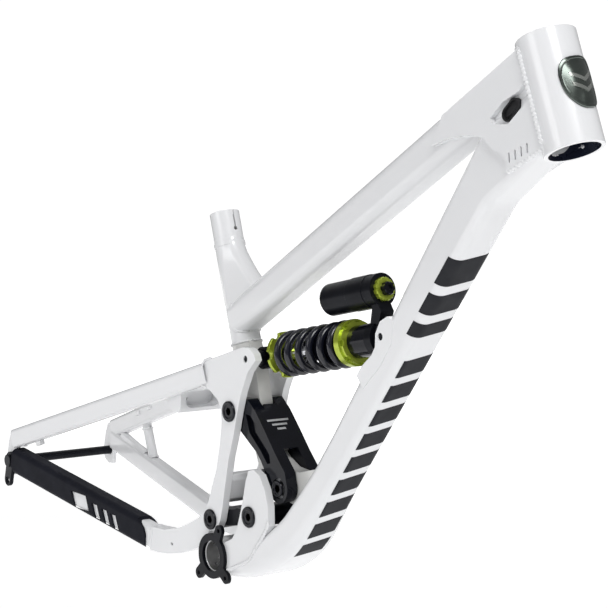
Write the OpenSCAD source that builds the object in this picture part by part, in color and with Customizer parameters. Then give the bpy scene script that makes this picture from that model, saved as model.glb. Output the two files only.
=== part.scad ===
// Full suspension bicycle frame: front triangle, rear triangle, two short links and a coil shock.
// X points forward, Z up, the chain side is -Y, the origin is the middle of the bottom bracket shell.

/* [Head tube] */
// Inner diameter of the head tube, for cups pressed straight in
head_bore_d = 49.6; // [49.5:0.1:49.7]
// Outer diameter of the head tube
head_od = 58.5; // [57.5:0.5:59.5]

/* [Seat tube] */
// Inner diameter of the seat tube
seat_bore_d = 31.6; // [30.8:0.2:31.8]
// Outer diameter of the seat tube
seat_od = 35.6; // [35:0.2:36.4]

/* [Bottom bracket] */
// Inner diameter of the threaded shell, over the thread crests
shell_bore_d = 34.8; // [34.6:0.1:35]
// Outer diameter of the shell
shell_od = 43; // [42:0.5:44]

/* [Rear axle] */
// Diameter of the through axle
axle_d = 12; // [12:0.5:12]

/* [Shock] */
// Outer diameter of the coil spring
spring_od = 53; // [52:0.5:54]
// Diameter of the spring wire
spring_wire = 8.5; // [8:0.5:9]

/* [Hidden] */
$fn = 64;
e = 0.01;

// pivots and centres, in the side plane
P1 = [102, 107];
P2 = [12, 178];
P3 = [65, 65];
P4 = [-13, 41];
S2 = [37, 245];
S1 = [258, 310];
AX = [-435, 16];

head_lo = [485, 522];
head_angle = 64;
head_len = 114;
seat_top = [-73, 400.6];
seat_angle = 67.1;
seat_len = 160;
shell_w = 73;
hub_w = 148;

tt_angle = 35.2;
tt_depth = 41;
tt_width = 38;
dt_width = 46;

shock_angle = atan2(S1[1] - S2[1], S1[0] - S2[0]);
shock_len = norm(S1 - S2);

// ---- helpers ----

// a side view outline, given as x and z, made solid from y0 to y1
module slab(y0, y1) {
  translate([0, y1, 0])
    rotate([90, 0, 0])
      linear_extrude(y1 - y0)
        children();
}

// a round bar along Y through a side plane point
module bar(p, r, y0, y1) {
  translate([p[0], y1, p[1]])
    rotate([90, 0, 0])
      cylinder(r = r, h = y1 - y0);
}

// the same thing on the other side of the frame
module far() {
  mirror([0, 1, 0])
    children();
}

// rounded rectangle, centred
module rrect(w, h, r) {
  square([w - 2 * r, h], center = true);
  square([w, h - 2 * r], center = true);
  for (sx = [-1, 1])
    for (sy = [-1, 1])
      translate([sx * (w / 2 - r), sy * (h / 2 - r)])
        circle(r = r);
}

// stadium between two points
module stadium(a, b, r) {
  d = b - a;
  translate(a)
    circle(r = r);
  translate(b)
    circle(r = r);
  translate(a)
    rotate(atan2(d[1], d[0]))
      translate([0, -r])
        square([norm(d), 2 * r]);
}

// straight run along local +X, section in local Y (width) and Z (depth)
module run_x(len) {
  rotate([90, 0, 90])
    linear_extrude(len)
      children();
}

// ---- head tube ----

module head_place() {
  translate([head_lo[0], 0, head_lo[1]])
    rotate([0, head_angle - 90, 0])
      children();
}

module head_cut() {
  head_place()
    translate([0, 0, -30])
      cylinder(d = head_od, h = head_len + 60);
}

module head_tube() {
  color("white")
    head_place()
      difference() {
        cylinder(d = head_od, h = head_len);
        translate([0, 0, -1])
          cylinder(d = head_bore_d, h = head_len + 2);
      }
}

module head_badge() {
  color("dimgray")
    intersection() {
      head_place()
        difference() {
          translate([0, 0, 20])
            cylinder(d = head_od + 3, h = 74);
          translate([0, 0, 19])
            cylinder(d = head_od, h = 76);
        }
      head_place()
        translate([0, 0, 57])
          rotate([0, 0, -6])
            rotate([90, 0, 90])
              linear_extrude(60)
                rrect(42, 52, 18);
    }
}

// ---- main tubes ----

tt_a = [-22, 279.9];
tt_b = [443, 607.8];
tt_len = norm(tt_b - tt_a);

module tt_place() {
  translate([tt_a[0], 0, tt_a[1]])
    rotate([0, -tt_angle, 0])
      children();
}

module tt_outer() {
  tt_place()
    run_x(tt_len)
      rrect(tt_width, tt_depth, 12);
}

module top_tube() {
  color("white")
    difference() {
      tt_place()
        run_x(tt_len)
          difference() {
            rrect(tt_width, tt_depth, 12);
            rrect(tt_width - 4, tt_depth - 4, 10);
          }
      head_cut();
      seat_cut();
    }
}

// down tube: a side outline that curves up from the shell and deepens towards the head
dt_c1 = [-3.4, 164.5];
dt_c2 = [445.3, 426.2];

function arc(c, r, a0, a1, n) =
  [for (i = [0:n]) c + r * [cos(a0 + (a1 - a0) * i / n), sin(a0 + (a1 - a0) * i / n)]];

// w is how far the outline is drawn in
function dt_points(w) =
  concat([[32, -18.8] + w * [-0.23, 0.97]],
    arc(dt_c1, 186.5 - w, -76.6, -31.6, 14),
    arc(dt_c2, 58.5 + w, 148.4, 131.4, 5),
    [[481.6, 536.1] + w * [-0.661, 0.75], [476, 548], [463, 568], [456.4, 564.7] + w * [0.661, -0.75],
      [418, 530.8] + w * [0.2, -1.1], [388, 542.4] + w * [0.6, -1.2],
      [187.4, 191.2] + w * [0.86, -0.51]],
    arc(dt_c1, 148.5 + w, -31.6, -76.6, 14),
    [[23.2, 18.1] + w * [0.23, -0.97]]);

module dt_outer() {
  slab(-dt_width / 2, dt_width / 2)
    polygon(dt_points(0));
}

// the tube widens to the shell's width at its foot
module dt_flare() {
  intersection() {
    slab(22, 36.5)
      polygon([[103, 64], [93, 48], [82, 33], [72, 16], [38, -3], [18, -15], [14, -20], [34, -19],
        [62, -9], [96, 15], [126, 44], [155, 79], [172, 108], [150, 112], [118, 88]]);
    translate([0, 0, -40])
      linear_extrude(200)
        polygon([[0, 0], [190, 0], [190, 20.5], [172, 22.8], [150, 28], [128, 32.5], [104, 35.6],
          [84, 36.5], [0, 36.5]]);
  }
}

module down_tube() {
  color("white")
    difference() {
      union() {
        difference() {
          dt_outer();
          slab(-dt_width / 2 + 2.5, dt_width / 2 - 2.5)
            polygon(dt_points(2.5));
        }
        dt_flare();
        far()
          dt_flare();
      }
      head_cut();
      tt_outer();
      bar([0, 0], shell_od / 2, -40, 40);
      shock_pocket(30);
    }
}

// ---- seat tube ----

module seat_place() {
  translate([seat_top[0], 0, seat_top[1]])
    rotate([0, 90 + seat_angle, 0])
      children();
}

module seat_cut() {
  seat_place()
    translate([0, 0, -60])
      cylinder(d = seat_od, h = seat_len + 120);
}

module seat_tube() {
  color("white")
    difference() {
      seat_place()
        difference() {
          union() {
            cylinder(d = seat_od, h = seat_len);
            translate([0, 0, 37])
              cylinder(d = seat_od + 2, h = 5);
          }
          translate([0, 0, -1])
            cylinder(d = seat_bore_d, h = seat_len - 8);
          // clamp slot at the front, ending in a round hole
          translate([-40, -1, -1])
            cube([40, 2, 24]);
          translate([-40, 0, 23])
            rotate([0, 90, 0])
              cylinder(d = 5, h = 40);
        }
    }
}

module seat_gusset() {
  color("white")
    difference() {
      union() {
        slab(-9, 9)
          polygon([[-46, 378], [-38, 369], [-31, 361], [-18, 350.5], [-5, 340.5], [8, 332.5], [20, 327],
            [20, 318], [-28, 290]]);
        slab(-14, 14)
          polygon([[-48, 372], [-42, 359], [-28, 348], [-15, 338], [-2, 329.5], [12, 322], [20, 316],
            [-28, 290]]);
      }
      seat_cut();
      seat_place()
        translate([0, 0, 36])
          cylinder(d = seat_od + 2.2, h = 7);
      tt_outer();
    }
}

// ---- lower mast, shell and yoke ----

module seat_mast() {
  color("white")
    difference() {
      union() {
        slab(-9, 9)
          polygon([[-27.2, 246.3], [5.6, 260.1], [14, 246], [24, 226], [32, 202], [40, 180], [50, 161],
            [62, 146], [78, 135], [97, 128], [118, 128], [150, 140], [150, 100], [118, 88], [102, 90],
            [86, 94], [56, 96], [44, 112], [28, 140], [8, 175], [-12, 210], [-24, 232]]);
        seat_place()
          translate([0, 0, seat_len])
            cylinder(d = seat_od, h = 7);
      }
      bar(P1, 6, -20, 20);
      dt_outer();
      seat_place()
        cylinder(d = seat_od, h = seat_len);
      bar(P3, 15, -30, 30);
    }
}

module bb_shell() {
  color("white")
    difference() {
      bar([0, 0], shell_od / 2, -shell_w / 2, shell_w / 2);
      bar([0, 0], shell_bore_d / 2, -shell_w / 2 - 1, shell_w / 2 + 1);
    }
}

module yoke_left() {
  color("white")
    difference() {
      union() {
        slab(27, 36.5)
          polygon([[6, 20], [20, 22], [34, 30], [42, 43], [47, 63], [51, 82], [54, 104], [58, 118],
            [68, 122], [80, 118], [92, 104], [100, 86], [103, 64], [93, 48], [82, 33], [72, 16],
            [38, -3], [18, -15], [6, -10]]);
        // inner part that reaches the tube's side, clear of the lower link
        slab(23, 27.1)
          polygon([[6, 20], [20, 22], [34, 30], [42, 38], [86, 42], [90, 60], [103, 64], [93, 48],
            [82, 33], [72, 16], [38, -3], [18, -15], [6, -10]]);
        // inner part that reaches the mast, behind the upper link
        slab(9, 27.1)
          polygon([[54, 97], [54, 104], [58, 118], [66, 121], [68, 97]]);
      }
      bar([0, 0], shell_od / 2, -50, 50);
      bar(P3, 6, 20, 40);
    }
}

module yoke_right() {
  far()
    yoke_left();
}

// ---- head gussets ----

module gusset_outline() {
  polygon([[318, 513], [337, 521], [360, 526], [377, 528], [390, 527], [402, 519], [406, 516],
    [418, 515], [424, 506], [424, 497], [467, 523], [481, 531], [437, 622], [425, 611], [330, 544]]);
}

module gusset_window() {
  polygon([[446, 591], [440, 582], [432, 573], [413, 562], [398, 546], [402, 541.5], [413, 541],
    [423, 542.5], [437, 557], [447, 568]]);
}

// a round-ended slot as one outline, n sides to each end
module slot_outline(a, b, r, n) {
  t = atan2(b[1] - a[1], b[0] - a[0]);
  polygon(concat([for (i = [0:n]) b + r * [cos(t - 90 + 180 * i / n), sin(t - 90 + 180 * i / n)]],
    [for (i = [0:n]) a + r * [cos(t + 90 + 180 * i / n), sin(t + 90 + 180 * i / n)]]));
}

module port_outline(r) {
  slot_outline([419, 551], [427, 560], r, 10);
}

module head_gusset_left() {
  color("white")
    difference() {
      slab(19, 27)
        gusset_outline();
      // sunk window with the cable port in it
      slab(21, 30)
        gusset_window();
      slab(10, 30)
        port_outline(7.2);
      for (k = [0:3])
        slab(10, 30)
          slot_outline([427 + 7.5 * k, 514.5 + 3.6 * k], [428.6 + 7.5 * k, 507.5 + 3.6 * k], 1.2, 6);
      head_cut();
      // the down tube's side
      slab(18, 23.2)
        polygon([[382, 532], [388, 543], [418, 531.5], [467, 576], [520, 610], [520, 540], [480, 528],
          [440, 490], [405, 455], [340, 380]]);
    }
}

module head_gusset_right() {
  far()
    head_gusset_left();
}

module cable_port() {
  difference() {
    slab(19.5, 25.6)
      port_outline(7.2);
    slab(23, 26)
      port_outline(5.2);
  }
}

module cable_ports() {
  color("black") {
    cable_port();
    far()
      cable_port();
  }
}

// ---- shock mount ----

module shock_pocket(w) {
  slab(-w, w)
    polygon([[224, 262], [236, 250], [262, 280], [276, 306], [276, 330], [262, 340], [240, 345]]);
}

module shock_mount() {
  color("white")
    difference() {
      slab(-24, 24)
        polygon([[224, 262], [236, 250], [262, 280], [276, 306], [276, 330], [267, 333], [256, 326],
          [250, 312], [251, 298], [246, 288], [232, 274]]);
      // room for the shock's eye
      slab(-11.6, 11.6)
        polygon([[214, 268], [240, 262], [258, 290], [272, 300], [274, 316], [266, 332], [240, 350]]);
      bar(S1, 4, -25, 25);
    }
}

module shock_front_bolt() {
  color("dimgray") {
    bar(S1, 4, -22.5, 22.5);
  }
}

// ---- chain guide plate ----

module chainguide_plate() {
  color("black")
    difference() {
      slab(-41, -36.5)
        union() {
          circle(r = 27);
          stadium(18 * [cos(71), sin(71)], 36 * [cos(71), sin(71)], 7);
          stadium(18 * [cos(-131), sin(-131)], 36 * [cos(-131), sin(-131)], 7);
          stadium(18 * [cos(-30), sin(-30)], 36 * [cos(-30), sin(-30)], 7);
        }
      bar([0, 0], shell_bore_d / 2 + 1, -50, 0);
      for (a = [71, -131, -30])
        bar(36 * [cos(a), sin(a)], 2.5, -50, 0);
    }
}

// ---- pivot axles held by the front triangle ----

module pivot_axles_frame() {
  color("dimgray") {
    bar(P1, 6, -25.5, 25.5);
    bar(P1, 8.5, -27, -25.5);
    bar(P1, 8.5, 25.5, 27);
    bar(P3, 6, -36.5, 36.5);
    bar(P3, 12.3, -38.8, -36.5);
    bar(P3, 12.3, 36.5, 38.8);
  }
}

// ---- rear triangle ----

module upright_outline() {
  polygon([[57, 247], [53, 254], [44, 259], [31, 258], [15, 252], [-14, 240], [-44, 228], [-54, 212],
    [-49, 198], [-30, 194], [-14, 187], [-6, 176], [-3, 160], [-4, 135], [-8, 103], [-14, 84], [-20, 62],
    [-26, 50], [-27.5, 41], [-24, 31], [-16, 27], [-7, 27.5], [1, 33], [6, 43], [9, 60], [11, 79],
    [16, 122], [23, 152], [27, 178], [33, 205], [43, 230]]);
}

module upright_left() {
  color("white")
    difference() {
      slab(25.5, 35.5)
        upright_outline();
      bar(P2, 6, 20, 40);
      bar(P4, 6, 20, 40);
      bar(S2, 4, 20, 40);
    }
}

module upright_right() {
  far()
    upright_left();
}

// the same stay, solid
module stay_solid(a, b, w, d, r) {
  v = b - a;
  translate(a)
    rotate([0, -atan2(v[2], norm([v[0], v[1]])), atan2(v[1], v[0])])
      rotate([90, 0, 90])
        linear_extrude(norm(v))
          rrect(w, d, r);
}

// a straight stay between two points in space, section width and depth
module stay(a, b, w, d, r, t) {
  v = b - a;
  yaw = atan2(v[1], v[0]);
  pitch = atan2(v[2], norm([v[0], v[1]]));
  translate(a)
    rotate([0, -pitch, yaw])
      rotate([90, 0, 90])
        linear_extrude(norm(v))
          difference() {
            rrect(w, d, r);
            rrect(w - 2 * t, d - 2 * t, r - t);
          }
}

ss_a = [-42, 31, 213.3];
ss_b = [-436, 79, 45];
cs_a = [-112, 45, -8];
cs_b = [-424, 77, 18];
csl_a = [-112, 45, 9];
csl_b = [-424, 77, 34];

module seatstay() {
  difference() {
    stay(ss_b, ss_a, 17, 26, 5, 1.8);
    slab(25, 36)
      upright_outline();
    dropout_space();
  }
}

module seatstay_left() {
  color("white")
    difference() {
      seatstay();
      stay_solid(csl_b, csl_a, 19, 28, 5.5);
    }
}

module seatstay_right() {
  color("white")
    far()
      seatstay();
}

module chainstay_left() {
  color("white")
    difference() {
      stay(csl_b, csl_a, 19, 28, 5.5, 1.8);
      dropout_space();
    }
}

module chainstay_right() {
  color("white")
    far()
      difference() {
        stay(cs_b, cs_a, 19, 29, 5.5, 1.8);
        dropout_space();
      }
}

module stay_yoke_plan() {
  translate([0, 0, -60])
    linear_extrude(140)
      polygon([[-113, 54.2], [-90, 51], [-60, 43], [-38, 36.5], [-13, 35.5], [-13, 25.5],
        [-38, 26], [-60, 28], [-90, 32], [-113, 36]]);
}

module stay_yoke_left() {
  color("white")
    difference() {
      intersection() {
        slab(20, 60)
          polygon([[-113, 23], [-89, 26], [-70, 30], [-53, 35], [-38, 41], [-27, 47], [-13, 42], [-13, 27],
            [-22, 19], [-35, 10], [-48, 4], [-62, 1], [-80, -1], [-96, -3], [-113, -5]]);
        stay_yoke_plan();
      }
      slab(25, 36)
        upright_outline();
      stay_solid(csl_b, csl_a, 19, 28, 5.5);
      bar([-76, 12], 2, 20, 60);
    }
}

module stay_yoke_right() {
  color("white")
    far()
      difference() {
        intersection() {
          slab(20, 60)
            polygon([[-113, 6.5], [-89, 9], [-70, 15], [-53, 25], [-38, 36], [-27, 47], [-13, 42], [-13, 27],
              [-22, 16], [-35, 0], [-48, -8], [-62, -14], [-80, -19], [-96, -22], [-113, -23]]);
          stay_yoke_plan();
        }
        slab(25, 36)
          upright_outline();
        stay_solid(cs_b, cs_a, 19, 29, 5.5);
        bar([-76, -6], 2, 20, 60);
      }
}

module upright_bridge() {
  color("gray")
    difference() {
      slab(-25.5, 25.5)
        polygon([[-9, 98], [3, 98], [6, 92], [2, 68], [-4, 62], [-14, 62], [-17, 68]]);
      slab(-20, 20)
        polygon([[-6, 94], [0, 94], [2, 90], [-1, 71], [-5, 66], [-11, 66], [-13, 70]]);
    }
}

module seatstay_bridge() {
  color("lightgray")
    difference() {
      slab(-33, 33)
        polygon([[-128, 166], [-126, 175], [-118, 180], [-98, 189], [-95, 184], [-95, 158], [-99, 152],
          [-112, 150], [-124, 156]]);
      // pocket milled in from the front
      translate([-112, 0, 0])
        rotate([90, 0, 90])
          linear_extrude(30)
            stadium([-15, 168], [15, 168], 10.5);
      // a hole for a hose through its back
      translate([-140, -15, 166])
        rotate([0, 90, 0])
          cylinder(r = 2.6, h = 40);
      stay_solid(ss_b, ss_a, 17, 26, 5);
      far()
        stay_solid(ss_b, ss_a, 17, 26, 5);
    }
}

module dropout_outline() {
  polygon([[-452, 20], [-449, 40], [-445, 52], [-436, 57], [-424, 57], [-408, 52], [-405, 42], [-425, 36],
    [-425, -2], [-436, -4], [-447, 0], [-452, 8]]);
}

module dropout_space() {
  slab(74, 80)
    dropout_outline();
  slab(60, 100)
    polygon([[-480, -30], [-425, -30], [-425, 36], [-437, 70], [-480, 70]]);
}

module dropout_left() {
  color("white")
    difference() {
      slab(74, 80)
        dropout_outline();
      bar(AX, axle_d / 2, 60, 100);
    }
}

module dropout_right() {
  far()
    dropout_left();
}

module brace_strut() {
  translate([-331, 65, 92])
    rotate([0, 180 - 27, 0])
      cylinder(r = 6.5, h = 62);
}

module brake_brace() {
  color("white") {
    // round strut from the seatstay down to the chainstay
    difference() {
      brace_strut();
      stay_solid(ss_b, ss_a, 17, 26, 5);
      stay_solid(csl_b, csl_a, 19, 28, 5.5);
    }
    // lower bar along the chainstay
    difference() {
      stay([-392, 70, 48], [-318, 63, 37], 9, 11, 3, 1.5);
      stay_solid(csl_b, csl_a, 19, 28, 5.5);
      stay_solid(ss_b, ss_a, 17, 26, 5);
      brace_strut();
    }
  }
}

module hanger() {
  color("black")
    difference() {
      slab(-85, -80)
        union() {
          translate(AX)
            circle(r = 12);
          stadium(AX, [-439, -12], 9);
        }
      bar(AX, axle_d / 2, -100, -60);
      bar([-439, -13], 5, -100, -60);
    }
}

module rear_axle() {
  color("black") {
    bar(AX, axle_d / 2, -85, 80);
    bar(AX, 8.5, -89, -85);
    bar(AX, 8.5, 80, 82);
  }
}

module guard_shell(w, d) {
  v = cs_a - cs_b;
  yaw = atan2(v[1], v[0]);
  pitch = atan2(v[2], norm([v[0], v[1]]));
  translate(cs_b)
    rotate([0, -pitch, yaw])
      rotate([90, 0, 90])
        children();
}

module chainstay_guard() {
  color("black")
    far()
      difference() {
        intersection() {
          guard_shell()
            linear_extrude(312)
              difference() {
                translate([0, 1])
                  rrect(24.5, 34, 7);
                rrect(19, 29, 5.5);
                translate([-20, -40])
                  square([29.5, 44]);
              }
          slab(30, 100)
            polygon([[-426, 60], [-426, 24], [-424, 12], [-400, -12], [-390, -40], [-128, -60], [-122, -30],
              [-121, -22], [-122, -6], [-126, 2], [-139, 10], [-139, 60]]);
        }
        // windows in the outer face
        slab(60, 100)
          polygon([[-281, 11.5], [-248, 12.5], [-239, -7], [-271, -8.5]]);
        slab(40, 100)
          for (w = [[-235, 12, 6.5], [-213.5, 11.5, 4.5], [-194, 11, 3]])
            polygon([[w[0], w[2]], [w[0] + w[1], w[2]], [w[0] + w[1] + 9, w[2] - 18], [w[0] + 9, w[2] - 18]]);
      }
}

module hose_clip(place, size) {
  difference() {
    translate(place)
      rotate([0, -23, -6.9])
        cube(size, center = true);
    stay_solid(ss_b, ss_a, 17, 26, 5);
  }
}

module hose_clips() {
  color("white") {
    far()
      hose_clip([-374, 72, 54], [12, 7, 6]);
    hose_clip([-302, 54, 108], [10, 6, 5]);
    hose_clip([-337, 58, 92], [10, 6, 5]);
  }
}

module pivot_bolts_rear() {
  color("dimgray") {
    bar(P2, 6, 11, 35.5);
    bar(P2, 12.3, 35.5, 38);
    bar(P2, 6, -35.5, -11);
    bar(P2, 12.3, -38, -35.5);
    bar(P4, 6, -35.5, 35.5);
    bar(P4, 12.3, 35.5, 38);
    bar(P4, 12.3, -38, -35.5);
  }
}

module shock_rear_bolt() {
  color("dimgray") {
    bar(S2, 4, -34, 34);
    difference() {
      bar(S2, 9, 11.8, 25.5);
      bar(S2, 4, 10, 30);
    }
    difference() {
      bar(S2, 9, -25.5, -11.8);
      bar(S2, 4, -30, -10);
    }
  }
}

// ---- links ----

module upper_arm_outline() {
  difference() {
    union() {
      polygon([[0, 186], [10, 193], [32, 196], [49, 185], [70, 166], [92, 145], [112, 128], [118, 112],
        [110, 94], [96, 92], [86, 100], [80, 112], [73, 122], [66, 130], [55, 139], [43, 145],
        [22, 156], [4, 165]]);
      translate(P1)
        circle(r = 17);
      translate(P2)
        circle(r = 15);
    }
    translate(P1)
      circle(r = 12);
    translate(P2)
      circle(r = 12);
  }
}

module upper_link() {
  color("black")
    difference() {
      union() {
        slab(10, 24.9)
          upper_arm_outline();
        slab(-24.9, -10)
          upper_arm_outline();
        slab(-10.1, 10.1)
          polygon([[42, 191], [49, 185], [70, 166], [88, 149], [80, 143], [64, 156], [52, 170], [44, 184]]);
      }
      // pockets on the outer faces
      slab(20.5, 30)
        polygon([[30, 178], [40, 178], [58, 164], [80, 144], [84, 132], [78, 130], [64, 142], [40, 158]]);
      slab(-30, -20.5)
        polygon([[30, 178], [40, 178], [58, 164], [80, 144], [84, 132], [78, 130], [64, 142], [40, 158]]);
    }
}

module ring(p, ro, ri, y0, y1) {
  difference() {
    bar(p, ro, y0, y1);
    bar(p, ri, y0 - 1, y1 + 1);
  }
}

module upper_link_bearings() {
  color("silver") {
    ring(P1, 12, 6.05, 14, 22);
    ring(P1, 12, 6.05, -22, -14);
    ring(P2, 12, 6.05, 14, 22);
    ring(P2, 12, 6.05, -22, -14);
  }
}

module lower_link_outline() {
  difference() {
    union() {
      stadium(P3, P4, 9.5);
      translate(P3)
        circle(r = 13);
      translate(P4)
        circle(r = 12);
    }
    translate(P3)
      circle(r = 10);
    translate(P4)
      circle(r = 7.3);
  }
}

module lower_link() {
  color("black")
    difference() {
      slab(-25, 25)
        lower_link_outline();
      // ribs: deep slots from above and below between the two ends
      for (y = [-15, -5, 5, 15])
        translate([0, y, 0])
          slab(-3.2, 3.2)
            translate([0, 0])
              polygon([[5, 40], [43, 52], [43, 72], [5, 60]]);
    }
}

module lower_link_bearings() {
  color("silver") {
    ring(P3, 10, 6.05, 16, 24);
    ring(P3, 10, 6.05, -24, -16);
  }
}

// ---- shock, built along local +X from the rear eye ----

module shock_place() {
  translate([S2[0], 0, S2[1]])
    rotate([0, -shock_angle, 0])
      children();
}

module turned(r, x0, x1) {
  translate([x0, 0, 0])
    rotate([0, 90, 0])
      cylinder(r = r, h = x1 - x0);
}

res_off = 51;

module shock_head() {
  color("black")
    difference() {
      shock_place() {
        difference() {
          union() {
            turned(18.5, 196, 207);
            slab(-11, 11)
              polygon([[205, -13], [230.4, -13], [230.4, 13], [205, 13]]);
            slab(-11, 11)
              translate([shock_len, 0])
                circle(r = 13);
            slab(-9, 9)
              polygon([[198, 14], [212, 14], [219, 27], [215, 36], [215, 52], [206, 58], [204.2, 40],
                [204.2, 31]]);
            translate([204, 0, res_off])
              rotate([0, 90, 0])
                cylinder(r = 18, h = 11);
          }
          slab(-30, 30)
            polygon([[204, -30], [216, -30], [240, -30], [240, -13.2], [207, -13.2]]);
          // bearing hole of the adjuster
          translate([0, 0, res_off])
            turned(3.05, 208.8, 216);
        }
      }
      bar(S1, 4.05, -20, 20);
    }
}

module damper_tube() {
  color("dimgray")
    shock_place()
      difference() {
        turned(18, 104.6, 196);
        turned(7.05, 104, 114);
        turned(15, 112, 190);
      }
}

module reservoir() {
  color("black")
    shock_place()
      translate([0, 0, res_off])
        difference() {
          union() {
            turned(18, 128, 204);
            turned(18.6, 172, 200);
          }
          turned(15.5, 127, 200);
        }
}

module reservoir_cap() {
  color("greenyellow")
    shock_place()
      translate([0, 0, res_off]) {
        turned(15, 124, 128);
        turned(15.5, 128, 132);
      }
}

module knob_compression() {
  color("greenyellow")
    shock_place()
      translate([0, 0, res_off])
        difference() {
          union() {
            turned(13, 215.2, 221);
            turned(7.5, 221, 227);
            turned(3, 209, 215.3);
          }
          for (k = [0:11])
            rotate([30 * k, 0, 0])
              translate([214, 0, 13.4])
                rotate([0, 90, 0])
                  cylinder(r = 1.4, h = 8);
        }
}

module preload_collar() {
  color("greenyellow")
    shock_place()
      difference() {
        union() {
          turned(26, 154, 162);
          turned(24, 162, 167);
        }
        turned(18.06, 153, 168);
        for (k = [0:7])
          rotate([45 * k, 0, 0])
            translate([162, -3, 22])
              cube([6, 6, 6]);
      }
}

module coil_spring() {
  color("black")
    shock_place()
      for (k = [0:6])
        translate([35 + spring_wire / 2 + k * (119 - spring_wire) / 6, 0, 0])
          rotate([0, 90, 0])
            rotate_extrude()
              translate([spring_od / 2 - spring_wire / 2, 0])
                circle(d = spring_wire);
}

module shock_shaft() {
  color("silver")
    shock_place() {
      turned(7, 20, 118);
      turned(14.8, 118, 124);
    }
}

module rear_eye() {
  color("black")
    difference() {
      shock_place() {
        difference() {
          union() {
            slab(-11, 11)
              circle(r = 13);
            slab(-11, 11)
              polygon([[0, -12], [20, -12], [20, 12], [0, 12]]);
          }
          translate([12, 0, -9])
            rotate([180, 0, 0])
              cylinder(r = 4, h = 6);
        }
      }
      bar(S2, 6.6, -20, 20);
    }
}

module spring_seat() {
  color("greenyellow")
    shock_place()
      difference() {
        union() {
          turned(26.5, 30, 35);
          turned(16.5, 24, 39);
        }
        turned(11.2, 19, 40);
        for (k = [0:5])
          rotate([60 * k + 30, 0, 0])
            translate([29, 0, 27])
              rotate([0, 90, 0])
                cylinder(r = 5, h = 7);
      }
}

module bump_stop() {
  color("black")
    shock_place()
      difference() {
        turned(11.2, 20, 31);
        turned(7, 19, 32);
      }
}

module knob_rebound() {
  color("red")
    shock_place()
      translate([12, 0, -12])
        rotate([180, 0, 0]) {
          cylinder(r = 3.94, h = 3);
          translate([0, 0, 3])
            cylinder(r = 5.5, h = 3);
        }
}

head_tube();
top_tube();
down_tube();
seat_tube();
seat_gusset();
seat_mast();
bb_shell();
yoke_right();
yoke_left();
head_gusset_right();
head_gusset_left();
cable_ports();
shock_mount();
chainguide_plate();
head_badge();
pivot_axles_frame();
shock_front_bolt();
upright_right();
upright_left();
seatstay_right();
seatstay_left();
chainstay_right();
chainstay_left();
stay_yoke_right();
stay_yoke_left();
upright_bridge();
seatstay_bridge();
dropout_right();
dropout_left();
brake_brace();
hanger();
rear_axle();
chainstay_guard();
hose_clips();
pivot_bolts_rear();
shock_rear_bolt();
upper_link();
upper_link_bearings();
lower_link();
lower_link_bearings();
shock_head();
damper_tube();
reservoir();
reservoir_cap();
knob_compression();
preload_collar();
coil_spring();
shock_shaft();
rear_eye();
spring_seat();
bump_stop();
knob_rebound();
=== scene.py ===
"""Looks of a full suspension bicycle frame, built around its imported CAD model.

Metres in Blender, millimetres in the helpers; X forward, Y left, Z up.
"""
import math

import bmesh
import bpy
import numpy as np
from mathutils import Matrix, Vector


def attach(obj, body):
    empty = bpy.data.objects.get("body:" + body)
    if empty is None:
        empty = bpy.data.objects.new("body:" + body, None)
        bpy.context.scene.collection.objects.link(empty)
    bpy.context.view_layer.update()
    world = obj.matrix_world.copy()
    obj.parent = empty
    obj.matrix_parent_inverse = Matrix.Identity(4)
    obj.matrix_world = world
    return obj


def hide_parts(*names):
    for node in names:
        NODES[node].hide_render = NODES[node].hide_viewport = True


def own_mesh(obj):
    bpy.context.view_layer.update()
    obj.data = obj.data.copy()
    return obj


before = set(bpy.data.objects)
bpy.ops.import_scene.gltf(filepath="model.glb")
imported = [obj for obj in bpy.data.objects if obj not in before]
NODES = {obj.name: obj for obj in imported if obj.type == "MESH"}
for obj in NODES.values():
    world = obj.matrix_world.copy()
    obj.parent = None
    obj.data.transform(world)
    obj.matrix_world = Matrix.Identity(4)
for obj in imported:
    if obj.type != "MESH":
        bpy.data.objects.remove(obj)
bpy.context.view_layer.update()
MM = 0.001

# ---------------------------------------------------------------- driving dimensions, millimetres and degrees
P1, P2, P3, P4 = (102, 107), (12, 178), (65, 65), (-13, 41)  # links: upper front, rear, lower front, rear
S2, S1 = np.array([37.0, 245.0]), np.array([258.0, 310.0])     # the shock's rear and front eyes
HEAD_LO, HEAD_ANGLE, HEAD_R = np.array([485.0, 522.0]), 64.0, 29.25
SEAT_TOP, SEAT_ANGLE, SEAT_R, SEAT_LEN = np.array([-73.0, 400.6]), 67.1, 17.8, 160.0
TT_A, TT_ANGLE = np.array([-22.0, 279.9]), 35.2
RES_OFF = 51.0            # reservoir axis off the shock axis
BADGE_TURN = math.radians(6)
BADGE_HEIGHT = 57.0       # its middle, up the head tube
PIN_R = 6                 # radius of the pivot pins


def unit(deg):
    return np.array([math.cos(math.radians(deg)), math.sin(math.radians(deg))])


SHOCK_D = (S1 - S2) / np.linalg.norm(S1 - S2)
SHOCK_N = np.array([-SHOCK_D[1], SHOCK_D[0]])
HEAD_D = unit(180 - HEAD_ANGLE)


# ---------------------------------------------------------------- camera
def make_camera():
    """the photograph's viewpoint"""
    right = Vector((0.60803, 0.79113, 0.06651))
    up = Vector((-0.15888, 0.03918, 0.98652))
    ahead = Vector((-0.77786, 0.61040, -0.14952))
    m = Matrix((right, up, -ahead)).transposed().to_4x4()
    m.translation = Vector((1.5028, -1.0899, 0.5883))
    data = bpy.data.cameras.new("camera")
    data.lens, data.sensor_width = 94.57, 36.0
    data.shift_x, data.shift_y = -0.0174, -0.0015
    data.clip_start, data.clip_end = 0.05, 50
    cam = bpy.data.objects.new("camera", data)
    cam.matrix_world = m
    bpy.context.scene.collection.objects.link(cam)
    bpy.context.scene.camera = cam


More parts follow.
